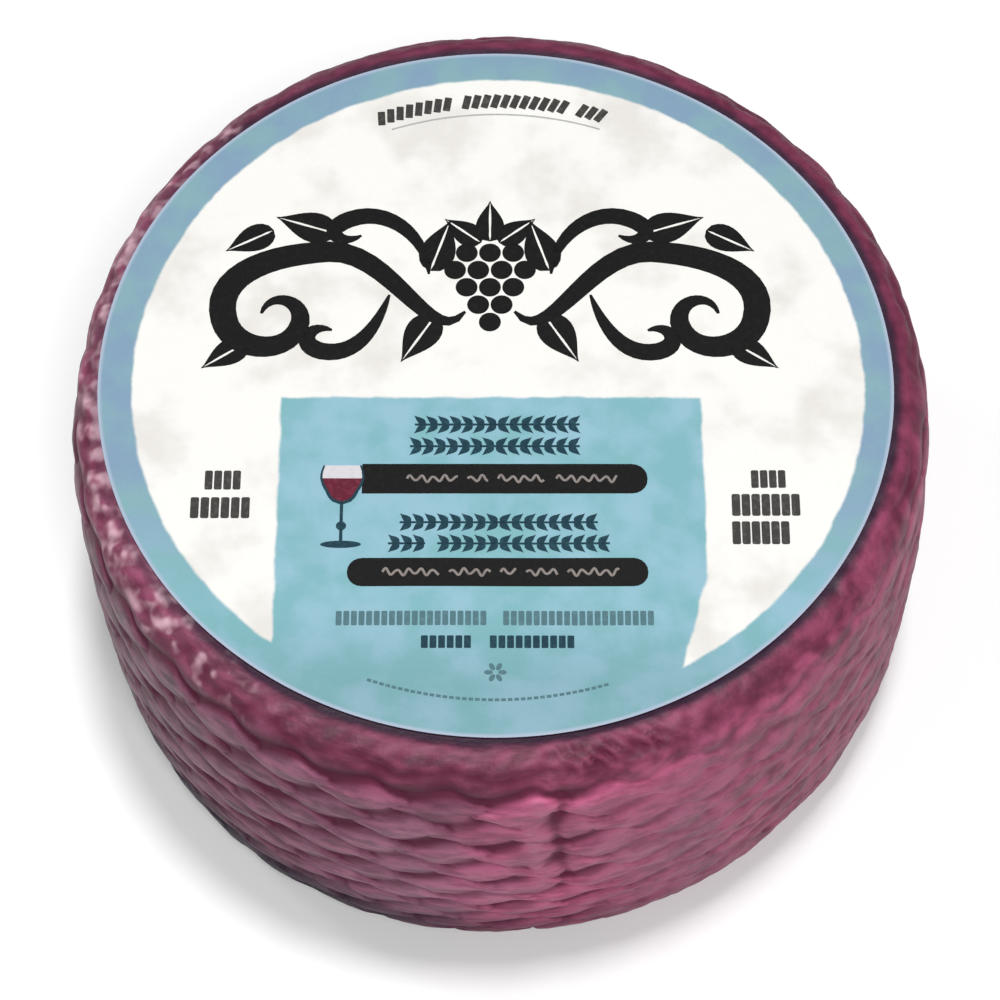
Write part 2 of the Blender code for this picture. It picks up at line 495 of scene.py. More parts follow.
print("a spot 40 mm down the front lies at", place_in_plait(LOBES_PER_ROW / 4, 40 * MM))

# %% [markdown]
# ## The rind: how deep it is carved
#
# Each lobe is a low pillow. Its crown tilts a little, ribs of pressed fibre run along it, and no two
# pillows stand equally high. Where two lobes of a row meet, the grass crossed over itself and left a
# small pit. At the shoulder the rolled edge of the band left a rope of beads under the label. On the
# front, a narrow ridge and a groove show where the ends of the band met, and to the right of them
# the print is softer and lumpier, with fine steep pleats at its top. The print is carved inwards,
# so the crowns stay where the solid has its surface.

# %% Lobes and ribs
PRINT_DEPTH = 2.0 * MM
GROOVE_SHARPNESS = 2.6
SHALLOW_GROOVE = 0.72
LOBE_RISE = 0.25
LOBE_END_DEPTH = 0.30
PIT_DEPTH = 0.45
LOBE_SINK = 0.30
RIB_DEPTH = 0.10
RIB_PITCH = 3.0 * MM


def groove_depth(groove):
    return 1.0 if groove % 2 == 0 else SHALLOW_GROOVE


def lobe_carving(lobe, arc):
    """The print's depth, 0 on a crown and 1 in a deep groove, the rows passed, and the lobe's tone."""
    first, last = groove_line(0, lobe), groove_line(ROW_COUNT, lobe)
    if arc < first:
        return (max(0.0, arc) / first) ** GROOVE_SHARPNESS, arc / first - 1, 0.0
    if arc > last:
        down = (arc - last) / (SIDE_LENGTH - last)
        return max(0.0, 1 - down) ** GROOVE_SHARPNESS, ROW_COUNT + down, 0.0
    row, across, phase = place_in_plait(lobe, arc)
    along = 2 * (phase % 1) - 1
    tilted = across + LOBE_RISE * along * (1 - across**2)
    beside = min(1.0, abs(tilted)) ** GROOVE_SHARPNESS
    groove = row if tilted < 0 else row + 1
    end = abs(along) ** 3
    pit = PIT_DEPTH * abs(along) ** 10 * min(1.0, abs(tilted)) ** 1.5
    lobe_number = math.floor(phase) % LOBES_PER_ROW
    tone = noise.noise(Vector((lobe_number * 3.7, row * 5.3, 0.5)))
    inside = (1 - beside) * (1 - end)
    sink = LOBE_SINK * max(0.0, tone) * inside
    ribs = max(2, round((groove_arcs[row + 1] - groove_arcs[row]) / RIB_PITCH))
    rib = RIB_DEPTH * (0.5 - 0.5 * math.cos(math.pi * (ribs * across + 0.9 * along))) * inside
    carved = beside * groove_depth(groove) + LOBE_END_DEPTH * end * (1 - beside) + pit + sink + rib
    return carved, row + (across + 1) / 2, tone * inside


# %% Strength of the print
FAINT_PRINT = 0.72
PATCHES_ROUND = 3
PATCH_START = 0.7
PATCH_PITCH = 105 * MM
SOFT_SHARE = 0.62
SOFT_FROM, SOFT_TO, SOFT_EDGE = 0.285, 0.46, 0.018


def softness(turn):
    """1 on the part of the side, right of the seam, where the print is soft."""
    begun = smooth_step(SOFT_FROM - SOFT_EDGE, SOFT_FROM + SOFT_EDGE, turn)
    return begun * (1 - smooth_step(SOFT_TO - 2 * SOFT_EDGE, SOFT_TO + 2 * SOFT_EDGE, turn))


def print_strength(turn, arc):
    """The print comes and goes round the wheel, and ends at both faces."""
    round_wheel = math.sin(FULL_TURN * PATCHES_ROUND * turn + PATCH_START)
    patches = round_wheel * math.cos(FULL_TURN * (arc / PATCH_PITCH + 2 * turn))
    uneven = (1 + FAINT_PRINT) / 2 + (1 - FAINT_PRINT) / 2 * patches
    at_shoulder = smooth_step(0.0, FIRST_GROOVE_ARC, arc)
    at_foot = smooth_step(0.0, 0.8 * FOOT_ROUND, SIDE_LENGTH - arc)
    return uneven * (1 - SOFT_SHARE * softness(turn)) * at_shoulder * at_foot


# %% Seam, shoulder and pleats
GIRTH = FULL_TURN * BELLY_RADIUS
SEAM_RIDGE_TURN, SEAM_GROOVE_TURN = 0.2615, 0.2705
SEAM_RIDGE_WIDTH, SEAM_GROOVE_WIDTH = 2.0 * MM, 1.2 * MM
SEAM_DEPTH = 0.35
SEAM_LENGTH = 60 * MM
BEADS_ROUND = 92
BEAD_ARC, BEAD_SPREAD = 4.2 * MM, 3.0 * MM
BEAD_LEAN = 0.1 / MM
BEAD_DEPTH = 0.38
ROPE_ARC, ROPE_WIDTH = 6.6 * MM, 1.1 * MM
ROPE_WAVES, ROPE_SWING = 29, 0.9 * MM
ROPE_DEPTH = 0.32
PLEAT_PITCH = 3.3 * MM
PLEAT_LEAN = -0.9
PLEAT_SHIFT = 1.6 * MM
PLEAT_DEPTH = 0.80
PLEAT_END = 9 * MM


def hump(value, width):
    """1 where the value is 0, and falling softly to 0 on both sides."""
    return math.exp(-((value / width) ** 2))


def seam(turn, arc):
    """(ridge, groove) of the upright seam, each from 0 to 1."""
    reach = smooth_step(9 * MM, 14 * MM, arc) * (1 - smooth_step(0.8 * SEAM_LENGTH, SEAM_LENGTH, arc))
    wander = 0.0012 * math.sin(arc / (6 * MM)) + 0.0006 * math.sin(arc / (2.3 * MM))
    ridge = hump((turn - SEAM_RIDGE_TURN - wander) * GIRTH, SEAM_RIDGE_WIDTH) * reach
    return ridge, hump((turn - SEAM_GROOVE_TURN - wander) * GIRTH, SEAM_GROOVE_WIDTH) * reach


def shoulder_rope(spot, turn, arc):
    """The rope of beads that the band's rolled edge leaves on the shoulder, deepest on the left."""
    left_side = (0.5 - 0.5 * math.cos(FULL_TURN * (turn + 0.42))) ** 3
    between = abs(math.cos(math.pi * (BEADS_ROUND * turn + BEAD_LEAN * arc))) ** 4
    beads = BEAD_DEPTH * (0.25 + 0.75 * left_side) * between * hump(arc - BEAD_ARC, BEAD_SPREAD)
    patchy = max(0.0, 0.6 + 0.8 * noise.noise(spot / (16 * MM)))
    line = ROPE_ARC + ROPE_SWING * math.sin(FULL_TURN * ROPE_WAVES * turn)
    return beads + ROPE_DEPTH * patchy * hump(arc - line, ROPE_WIDTH)


def pleats(spot, turn, arc):
    """Fine steep pleats under the label, where the soft part begins."""
    where = smooth_step(0.262, 0.275, turn) * (1 - smooth_step(0.30, 0.335, turn))
    fading = smooth_step(0.6 * MM, 2 * MM, arc) * (1 - smooth_step(0.5 * PLEAT_END, PLEAT_END, arc))
    shift = PLEAT_SHIFT * noise.noise(spot / PLEAT_PITCH)
    wave = 0.5 - 0.5 * math.cos(FULL_TURN * (GIRTH * turn + PLEAT_LEAN * arc + shift) / PLEAT_PITCH)
    uneven = 0.6 + 0.8 * noise.noise(spot / (1.5 * PLEAT_PITCH))
    return PLEAT_DEPTH * uneven * wave**2 * where * fading


# %% Carve the wheel
OVAL_SHARE = -0.0164
SKEW_SHARE = 0.0070
THREE_SIDED_SHARE = 0.0049
LEAN = 2.1 * MM
WANDER = 0.7 * MM
WANDER_SIZE = 10 * MM
LUMP_DEPTHS = {15 * MM: 0.16, 6 * MM: 0.13, 2.8 * MM: 0.09}
SOFT_LUMPS = 1.3
FIBRE_SIZE = 1.7 * MM
FIBRE_STRETCH = 5.0
FIBRE_DEPTH = 0.13
EDGE_DIP = 0.22
SKIN_DEPTH = 0.05
ROW_HEIGHT = 7 * MM


def out_of_round(angle):
    """How much the wheel's radius is scaled at this angle round its axis."""
    return (
        1
        + OVAL_SHARE * math.cos(2 * angle)
        + SKEW_SHARE * math.sin(2 * angle)
        + THREE_SIDED_SHARE * math.cos(3 * angle)
    )


# %% Carve every point
# Without a seed, noise_vector takes one from the clock, and each run would drift in its own way.
DRIFT_SEED = 7
noise.seed_set(DRIFT_SEED)


def carving(spot, turn, arc):
    """How deep a spot is carved, as a share of the full depth, its row number and its lobe's tone."""
    drift = noise.noise_vector(spot / WANDER_SIZE) * WANDER
    lobe = (turn + drift.x / GIRTH) * LOBES_PER_ROW
    printed, rows, tone = lobe_carving(lobe, arc + drift.z)
    ridge, groove = seam(turn, arc)
    carved = printed * print_strength(turn, arc) * (1 - 0.9 * ridge)
    carved += SEAM_DEPTH * groove + shoulder_rope(spot, turn, arc) + pleats(spot, turn, arc)
    soft = 1 + SOFT_LUMPS * softness(turn)
    for size, depth in LUMP_DEPTHS.items():
        carved += depth * soft * 0.5 * noise.noise(spot / size)
    fibre_place = Vector((spot.x / FIBRE_STRETCH, spot.y / FIBRE_STRETCH, rows * ROW_HEIGHT))
    fibres = FIBRE_DEPTH * (1 - SOFT_SHARE * softness(turn))
    carved += fibres * 0.5 * noise.noise(fibre_place / FIBRE_SIZE)
    return carved, rows, tone


def carve(shape):
    """Moves every point to its carved, slightly out-of-round place, and keeps what the colours need."""
    names = ("carved", "rows", "tone")
    for name in names:
        shape.verts.layers.float.new(name)
    arc_layer = shape.verts.layers.float["arc"]
    layers = [shape.verts.layers.float[name] for name in names]
    for vert in shape.verts:
        arc = vert[arc_layer]
        angle = math.atan2(vert.co.y, vert.co.x)
        turn = angle / FULL_TURN + 0.5
        outward = side_at(arc)[1]
        shown = carving(vert.co, turn, arc)
        at_base = 1 - smooth_step(-2 * MM, 2 * MM, arc - SIDE_LENGTH)
        at_top = smooth_step(-TOP_BAND, -0.6 * TOP_BAND, arc)
        dip = EDGE_DIP * hump(arc + 1.5 * MM, 2.2 * MM)
        on_side = (shown[0] * smooth_step(-3 * MM, 2 * MM, arc) + SKIN_DEPTH) * at_base
        depth = PRINT_DEPTH * (on_side + dip) * at_top
        radius = (math.hypot(vert.co.x, vert.co.y) - outward.x * depth) * out_of_round(angle)
        height = max(0.0, vert.co.z - outward.y * depth)
        lean = LEAN * (1 - height / TOP_HEIGHT)
        vert.co = wheel_axis + Vector((lean + radius * math.cos(angle), radius * math.sin(angle), height))
        for layer, number in zip(layers, shown):
            vert[layer] = number


carve(wheel)
print("carved", len(wheel.verts), "points")


# %% Make a bmesh an object
def finished(name, shape, material, smooth_angle=180):
    """Turns a bmesh into an object at the origin, with its material, shaded smooth."""
    mesh = bpy.data.meshes.new(name)
    shape.to_mesh(mesh)
    shape.free()
    mesh.materials.append(material)
    mesh.shade_smooth()
    mesh.set_sharp_from_angle(angle=math.radians(smooth_angle))
    piece = bpy.data.objects.new(name, mesh)
    scene.collection.objects.link(piece)
    return piece


# %% [markdown]
# ## The rind: colour of the wine stain, with painted shade and highlights
#
# The wine soaks in unevenly: the rind goes from a dull mauve on the left to a clear wine red on the
# right, in patches as wide as a finger, with finer streaks along the lobes where it ran. The shoulder
# is redder, and darker except on the left. Painted shade makes the left side darker and the right
# lighter, and darkens both sides towards the outline. The grooves are dark, partly with wine that
# collected there and partly with painted shade; painted shade also darkens the back of the shoulder
# and the foot, and a nearly black painted shadow lies under the paper's edge. Each crown wears to a
# milky pink that is partly a painted highlight, and painted glints dot the left shoulder. One flat
# purple would look like plastic, so each of these is a mask, blended over the ones before. The
# streaks read the row number that the carving left on each point, so they bend with the lobes.

# %% Where a spot is on the rind
SHOULDER_FROM, SHOULDER_TO, SHOULDER_RAGGED = 9 * MM, 17 * MM, 6 * MM
PAINTED_SIDE_SHADE, SHOULDER_DARKNESS = 0.64, 0.48


class RindPlaces:
    """Masks and numbers that tell the colours where a spot is on the wheel."""

    def __init__(self, paint, mottle):
        self.x, self.y, height = paint.axes(label_middle)
        self.arc = paint.attribute("arc")
        self.carved = paint.attribute("carved")
        self.shoulder = 1 - paint.rise(self.arc + mottle * SHOULDER_RAGGED, SHOULDER_FROM, SHOULDER_TO)
        self.left = 1 - paint.rise(self.x, -78 * MM, -40 * MM)
        self.right = paint.rise(self.x, 5 * MM, 50 * MM)
        # Painted shade: below the shoulder, the rind darkens towards its left and right sides.
        beside = paint.rise(paint.reach(self.x, 0.0), 0.0, 80 * MM)
        painted_side_shade = beside * (1 - self.shoulder) * PAINTED_SIDE_SHADE
        # The shoulder is also darker, except on the left.
        self.darker = painted_side_shade + self.shoulder * (1 - self.left) * SHOULDER_DARKNESS


# %% Stained, worn and soaked rind
MAUVE = screen_colour(154, 98, 124)
WINE = screen_colour(192, 94, 132)
CLARET = screen_colour(122, 54, 80)
MILKY = screen_colour(214, 140, 168)
PAINTED_GLINT = screen_colour(242, 198, 212)
DEEP_WINE_SHADE = screen_colour(96, 30, 58)
SHADE_PURPLE = screen_colour(44, 28, 48)
WIDE_PATCH, PAINTED_GLINT_SIZE = 26 * MM, 3.2 * MM
FOOT_FROM, FOOT_TO = SIDE_LENGTH - 36 * MM, SIDE_LENGTH - 17 * MM
CREASE_INSIDE, CREASE_OUTSIDE, CREASE_RAGGED = 81.2 * MM, 83.4 * MM, 1.2 * MM


def stained_and_shaded(paint, at, streaks, mottle):
    """Wide patches, a redder shoulder that is darker except on the left, and streaks that turn to blotches on
    the right, with painted shade: darker on the left and towards both sides, lighter on the right.
    """
    patches = paint.cloud(WIDE_PATCH, detail=3.0) + at.x * 5.0
    colour = paint.blend(paint.rise(patches, 0.30, 0.74), MAUVE, WINE)
    colour = paint.blend(at.shoulder * 0.8, colour, CLARET)
    streaked = paint.rise(streaks + (mottle - streaks) * at.right * 0.7, 0.34, 0.66)
    # Painted shade: the x term makes the left side darker and the right lighter; darker then takes off the
    # painted side shade and the darker shoulder.
    light = 0.76 + at.x * 0.8 + streaked * 0.60 + mottle * 0.55 - paint.attribute("tone") * 0.25
    return paint.shade(colour, light - at.darker)


def wear_and_glints(paint, at, streaks, mottle, colour):
    """A milky pink on each crown, partly where the stain has rubbed off and partly a painted highlight, and
    painted glints on the left shoulder.
    """
    # Milky pink on the crowns: partly wear, partly a painted highlight, dimmed by the painted side shade.
    crown_wear_and_highlight = (1 - paint.rise(at.carved, -0.08, 0.40)) * paint.rise(mottle + streaks, 0.92, 1.24)
    crown_wear_and_highlight = crown_wear_and_highlight * (0.60 - at.shoulder * 0.60) * (1 - at.right * 0.5)
    colour = paint.blend(crown_wear_and_highlight, colour, paint.shade(MILKY, 1 - at.darker * 0.8))
    # Painted glints: pale pink spots on the left shoulder.
    spots = paint.cloud(PAINTED_GLINT_SIZE, detail=1.0, start=(0.7, 0.2, 0.6)) + at.left * 0.14
    spots = paint.rise(spots, 0.53, 0.86) * (1 - paint.rise(at.x, -62 * MM, -30 * MM))
    return paint.blend(spots * at.shoulder * 0.85, colour, PAINTED_GLINT)


def soaked_and_shaded(paint, at, mottle, colour):
    """Darker in the grooves, partly wine and partly painted shade; painted shade on the back of the shoulder
    and at the foot, most on the left; a nearly black painted shadow under the paper's edge.
    """
    # Darker in the grooves: partly wine that collected there, partly painted shade; the shoulder gets a
    # little of it all over.
    groove_stain_and_shade = paint.rise(at.carved + at.shoulder * 0.12, 0.12, 0.72) * 0.92
    colour = paint.blend(groove_stain_and_shade, colour, DEEP_WINE_SHADE)
    # Painted shade on the back of the shoulder.
    back_shoulder_shade = at.shoulder * paint.rise(at.y + at.x * 0.6, 0.0, 60 * MM) * 0.45
    colour = paint.blend(back_shoulder_shade, colour, DEEP_WINE_SHADE)
    # Painted shade at the foot, where the side turns under: strong on the left, faint on the right.
    foot = paint.rise(at.arc, FOOT_FROM, FOOT_TO) * (0.66 - at.x * 9.0)
    colour = paint.blend(foot, colour, SHADE_PURPLE)
    # Painted shadow: nearly black on the rind under and just outside the paper's edge, weaker on the left.
    ragged = paint.reach(at.x, at.y) + mottle * CREASE_RAGGED
    crease_shadow = (1 - paint.rise(ragged, CREASE_INSIDE, CREASE_OUTSIDE)) * (0.94 - at.left * 0.5)
    return paint.blend(crease_shadow, colour, SHADE_PURPLE)


# %% Rind material
STREAK_SIZE, MOTTLE_SIZE, PORE_SIZE = 1.3 * MM, 5 * MM, 0.7 * MM
STREAK_SQUEEZE = 0.22
RIND_RELIEF = 0.28 * MM


def rind_material():
    material, paint = new_material("wine_rind", {"Specular IOR Level": 0.25, "Coat Roughness": 0.36})
    x, y, z = paint.axes(wheel_axis)
    rows = paint.attribute("rows") * ROW_HEIGHT
    along_lobes = paint.vector(x * STREAK_SQUEEZE, y * STREAK_SQUEEZE, rows)
    streaks = paint.cloud(STREAK_SIZE, detail=4.0, place=along_lobes)
    mottle = paint.cloud(MOTTLE_SIZE, detail=5.0, start=(0.3, 0.1, 0.2))
    pores = paint.cloud(PORE_SIZE, detail=3.0)
    at = RindPlaces(paint, mottle)
    colour = wear_and_glints(paint, at, streaks, mottle, stained_and_shaded(paint, at, streaks, mottle))
    paint.finish({
        "Base Color": soaked_and_shaded(paint, at, mottle, colour),
        "Roughness": 0.42 + paint.rise(at.carved, 0.0, 0.8) * 0.20 + mottle * 0.16,
        "Coat Weight": 0.17 - paint.rise(x, -78 * MM, -40 * MM) * 0.14,
        "Normal": paint.bump(pores * 0.35 + streaks * 0.65, RIND_RELIEF),
    })
    return material


rind = finished("rind", wheel, rind_material())
print("rind:", len(rind.data.polygons), "faces")

# %% [markdown]
# ## The label: a sheet of paper
#
# The label is a disc of coated paper that lies on the rind. Real paper on a moist cheese is never
# flat: it swells softly over the curd, crinkles a little, and its rim bends down towards the shoulder.
# A spun line makes the disc with enough rings to bend. One rule gives the paper's height anywhere on
# it, and the ink reads the same rule later, so the print lies on every wave of the sheet.

# %% The sheet's height
LABEL_RADIUS = (label_high.x - label_low.x) / 2
PAPER_THICKNESS = 0.12 * MM
PAPER_LEVEL = TOP_HEIGHT + 0.34 * MM
SWELL, SWELL_SIZE = 0.13 * MM, 24 * MM
CRINKLE, CRINKLE_SIZE = 0.03 * MM, 7 * MM
RIM_DROOP, RIM_WIDTH = 0.14 * MM, 4 * MM


def paper_height(x, y):
    """Height of the paper's upper face at a place measured from the label's middle."""
    place = Vector((x, y, 0))
    swell = SWELL * noise.noise(place / SWELL_SIZE)
    crinkle = CRINKLE * noise.noise(place / CRINKLE_SIZE + Vector((5, 2, 7)))
    droop = RIM_DROOP * smooth_step(LABEL_RADIUS - RIM_WIDTH, LABEL_RADIUS, place.length)
    return PAPER_LEVEL + swell + crinkle - droop


def drape(shape, lift):
    """Lays flat points, measured from the label's middle, on the paper."""
    for vert in shape.verts:
        height = paper_height(vert.co.x, vert.co.y) + lift
        vert.co = (label_middle.x + vert.co.x, label_middle.y + vert.co.y, height)


def thicken(shape, thickness):
    """Gives flat faces a thickness upwards, as a closed body whose faces point out."""
    raised = bmesh.ops.extrude_face_region(shape, geom=list(shape.faces))
    upper = [item for item in raised["geom"] if isinstance(item, bmesh.types.BMVert)]
    bmesh.ops.translate(shape, verts=upper, vec=(0, 0, thickness))
    bmesh.ops.recalc_face_normals(shape, faces=shape.faces)


# %% Spin the sheet
SHEET_RINGS = 54
SHEET_COLUMNS = 240


def paper_sheet():
    shape = bmesh.new()
    places = [LABEL_RADIUS * step / SHEET_RINGS for step in range(SHEET_RINGS + 1)]
    line = [shape.verts.new((place, 0, 0)) for place in places]
    edges = [shape.edges.new(pair) for pair in zip(line, line[1:])]
    bmesh.ops.spin(
        shape, geom=line + edges, cent=(0, 0, 0), axis=(0, 0, 1), dvec=(0, 0, 0),
        angle=FULL_TURN, steps=SHEET_COLUMNS, use_merge=True,
    )
    bmesh.ops.remove_doubles(shape, verts=shape.verts, dist=0.001 * MM)
    drape(shape, -PAPER_THICKNESS)
    thicken(shape, PAPER_THICKNESS)
    return shape


# %% [markdown]
# ## The label: its fields of colour
#
# The paper is white with faint warm clouds, where damp shows through. Round it runs a pale blue ring,
# 6 mm wide, with a thin milky rim outside, and low on the sheet stands a blue panel with slightly
# uneven sides, which runs into the ring. These are wide, soft fields, so they are painted in the
# material by distance from the label's middle. The sharp shapes of the print come after, as ink.

# %% Paper material
RING_INSIDE, RING_OUTSIDE = 73.6 * MM, 79.4 * MM
RING_SHIFT = Vector((0.5 * MM, -0.7 * MM, 0))
PANEL_TOP = -5.3 * MM
PANEL_LEFT, PANEL_RIGHT = -43.0 * MM, 41.2 * MM
PANEL_TAPER_FROM, PANEL_TAPER = -46 * MM, 0.28
PRINT_BLUR, EDGE_RAGGED = 0.4 * MM, 1.3 * MM
DAMP_SIZE, TINT_SIZE, GRAIN_SIZE = 15 * MM, 9 * MM, 0.5 * MM
PAPER_RELIEF = 0.10 * MM
WHITE_PAPER = screen_colour(243, 242, 238)
DAMP_PAPER = screen_colour(227, 224, 219)
SKY_BLUE = screen_colour(146, 190, 206)
TEAL_BLUE = screen_colour(126, 181, 189)
RING_BLUE = screen_colour(128, 158, 184)
RING_TEAL = screen_colour(132, 172, 180)
RIM_MILK = screen_colour(170, 184, 204)


def paper_material():
    material, paint = new_material("label_paper", {"Specular IOR Level": 0.35})
    x, y, z = paint.axes(label_middle)
    ragged = (paint.cloud(5 * MM, detail=4.0) - 0.5) * EDGE_RAGGED
    damp = paint.cloud(DAMP_SIZE, detail=3.0, start=(0.2, 0.5, 0.1))
    white = paint.blend(paint.rise(damp, 0.46, 0.70), WHITE_PAPER, DAMP_PAPER)

    def edge(value, place):
        return paint.rise(value + ragged, place - PRINT_BLUR, place + PRINT_BLUR)

    low_down = paint.node("ShaderNodeMath", {"operation": "MAXIMUM"}, {0: PANEL_TAPER_FROM - y, 1: 0.0})
    panel = edge(x, PANEL_LEFT) * (1 - edge(x + low_down * PANEL_TAPER, PANEL_RIGHT))
    panel = panel * (1 - edge(y, PANEL_TOP))
    ring = edge(paint.reach(x - RING_SHIFT.x, y - RING_SHIFT.y), RING_INSIDE)
    rim = paint.rise(paint.reach(x, y), RING_OUTSIDE - PRINT_BLUR, RING_OUTSIDE + PRINT_BLUR)
    tint = paint.cloud(TINT_SIZE, detail=3.0, start=(0.4, 0.8, 0.3))
    blue = paint.blend(paint.rise(tint, 0.35, 0.65), SKY_BLUE, TEAL_BLUE)
    blue = paint.shade(blue, 0.82 + paint.rise(y, -72 * MM, -50 * MM) * 0.16)
    ring_blue = paint.blend(paint.rise(tint, 0.30, 0.70), RING_BLUE, RING_TEAL)
    ring_blue = paint.blend(paint.rise(y, -60 * MM, -20 * MM), blue, ring_blue)
    colour = paint.blend(panel, white, blue)
    colour = paint.blend(rim, paint.blend(ring, colour, ring_blue), RIM_MILK)
    grain = paint.cloud(GRAIN_SIZE, detail=3.0)
    paint.finish({
        "Base Color": paint.shade(colour, 0.97 + grain * 0.06),
        "Roughness": 0.42 + damp * 0.20,
        "Normal": paint.bump(grain * 0.3 + damp * 0.7, PAPER_RELIEF),
    })
    return material


sheet = finished("label_sheet", paper_sheet(), paper_material(), smooth_angle=60)
print("label sheet:", len(sheet.data.polygons), "faces, radius", round(LABEL_RADIUS / MM, 1), "mm")

# %% [markdown]
# ## The label: ink
#
# The print on the real sheet is flat ink with crisp edges. A painted mask this fine would blur, so
# each shape is a very thin mesh that lies on the paper. An ink layer gathers flat shapes round the
# label's middle: rounded bars, discs, leaves and pen strokes. At the end it is cut into small
# squares, so that it can bend, laid on the sheet, and given its thickness.

# %% A layer of ink
INK_THICKNESS = 0.02 * MM
INK_LIFT = 0.015 * MM
BEND_PITCH = 3 * MM


class Ink:
    """Flat shapes in one ink, measured in mm from the label's middle."""

    def __init__(self):
        self.shape = bmesh.new()

    def put(self, verts, centre, size, turn):
        """Scales a new shape's points, turns them and moves them to their place."""
        rotation = Matrix.Rotation(turn, 3, "Z")
        for vert in verts:
            scaled = Vector((vert.co.x * size[0], vert.co.y * size[1], 0))
            vert.co = (rotation @ scaled + Vector((*centre, 0))) * MM

    def bar(self, centre, size, rounding=0.0, turn=0.0, rounded_from=-1.0):
        """A bar of this width and height. Its corners right of a place, -1 to 1, are rounded."""
        verts = bmesh.ops.create_grid(self.shape, x_segments=1, y_segments=1, size=0.5)["verts"]
        bmesh.ops.scale(self.shape, verts=verts, vec=(size[0], size[1], 1))
        if rounding > 0:
            corners = [vert for vert in verts if vert.co.x > rounded_from * size[0] / 2 - 1e-4]
            others = [vert for vert in verts if vert not in corners]
            verts = others + bmesh.ops.bevel(
                self.shape, geom=corners, offset=rounding, offset_type="OFFSET",
                segments=5, profile=0.5, affect="VERTICES", material=-1,
            )["verts"]
        self.put(verts, centre, (1, 1), turn)

    def disc(self, centre, size, sides=24, turn=0.0):
        """A disc or, drawn out, a small leaf. The size is its width and height."""
        made = bmesh.ops.create_circle(self.shape, cap_ends=True, segments=sides, radius=0.5)
        self.put(made["verts"], centre, size, turn)

    def stroke(self, points, width):
        """A pen stroke: a short edge across the path, extruded from point to point."""
        last = len(points) - 1
        edge = None
        for index, point in enumerate(points):
            along = (points[min(index + 1, last)] - points[max(index - 1, 0)]).normalized()
            side = Vector((-along.y, along.x, 0)) * width(index / last) / 2
            if edge is None:
                ends = [self.shape.verts.new((point + side) * MM), self.shape.verts.new((point - side) * MM)]
                edge = self.shape.edges.new(ends)
                continue
            made = bmesh.ops.extrude_edge_only(self.shape, edges=[edge])["geom"]
            ends = [item for item in made if isinstance(item, bmesh.types.BMVert)]
            ends[0].co, ends[1].co = (point + side) * MM, (point - side) * MM
            edge = [item for item in made if isinstance(item, bmesh.types.BMEdge)][0]

    def lay(self, name, material, lift=INK_LIFT):
        """Cuts the shapes so that they can bend, lays them on the paper, and makes them one object."""
        steps = int(LABEL_RADIUS / BEND_PITCH) + 1
        for axis in (Vector((1, 0, 0)), Vector((0, 1, 0))):
            for step in range(-steps, steps + 1):
                geometry = list(self.shape.verts) + list(self.shape.edges) + list(self.shape.faces)
                bmesh.ops.bisect_plane(
                    self.shape, geom=geometry, dist=0.001 * MM,
                    plane_co=axis * (step * BEND_PITCH), plane_no=axis,
                )
        drape(self.shape, lift)
        thicken(self.shape, INK_THICKNESS)
        return finished(name, self.shape, material, smooth_angle=40)


# %% [markdown]
# ## The label: the inks
#
# Offset ink is a thin film: nearly black, a little shiny, and never quite even, because the paper's
# grain shows through. One recipe with a colour of its own serves each ink.


# %% Ink materials
def ink_material(name, colour, worn_colour):
    material, paint = new_material(name, {"Specular IOR Level": 0.2})
    grain = paint.cloud(1.1 * MM, detail=4.0)
    paint.finish({
        "Base Color": paint.blend(paint.rise(grain, 0.45, 0.85), colour, worn_colour),
        "Roughness": 0.45 + grain * 0.20,
        "Normal": paint.bump(grain, 0.03 * MM),
    })
    return material


INK_TONES = {
    "black": ((9, 10, 9), (24, 25, 24)),
    "slate": ((22, 58, 72), (44, 84, 96)),
    "grey": ((82, 118, 126), (100, 136, 144)),
    "haze": ((176, 176, 174), (196, 196, 194)),
    "shade": ((62, 60, 58), (96, 93, 90)),
    "wine": ((98, 26, 46), (134, 54, 72)),
    "pale": ((142, 134, 130), (110, 104, 101)),
    "glass": ((214, 212, 216), (196, 198, 204)),
}
inks = {}
for name, (fresh, faded) in INK_TONES.items():
    inks[name] = ink_material("ink_" + name, screen_colour(*fresh), screen_colour(*faded))
print("inks:", sorted(inks))

# %% [markdown]
# ## The label: a vine with grapes
#
# The top half carries one large black ornament, as wide as two thirds of the sheet. It is a vine in
# the manner of an engraver's flourish: a bunch of grapes in the middle and, to each side, one long
# stem that swings out and rolls up, with a shoot above, a shoot below and leaves. Each line is a
# Bezier curve whose width swells and thins as a broad pen's does, and each leaf is two halves with
# the rib left bare between them. The right half is drawn once and mirrored for the left.

# %% Pens and leaves
LEAF_BULGE = 0.62
LEAF_STEPS = 12
RIB_GAP = 0.45


def curve_points(handles, steps=14):
    """Points along joined Bezier curves. Handles are (x, y): a point, two handles, a point, and so on."""
    spots = [Vector((x, y, 0)) for x, y in handles]
    points = [spots[0]]
    for start in range(0, len(spots) - 1, 3):
        piece = interpolate_bezier(spots[start], spots[start + 1], spots[start + 2], spots[start + 3], steps)
        points += [point.to_3d() for point in piece[1:]]
    return points


def pen(widest, thinnest, heavy_at=1.0):
    """A stroke's width along its length: thin at both ends, and heaviest where heavy_at sets it."""
    return lambda share: thinnest + (widest - thinnest) * math.sin(math.pi * share**heavy_at) ** 0.8


def leaf_width(width, share):
    """A leaf's width along its length: round near the stalk, pointed at the tip."""
    return width * math.sin(math.pi * share**LEAF_BULGE) ** 1.2


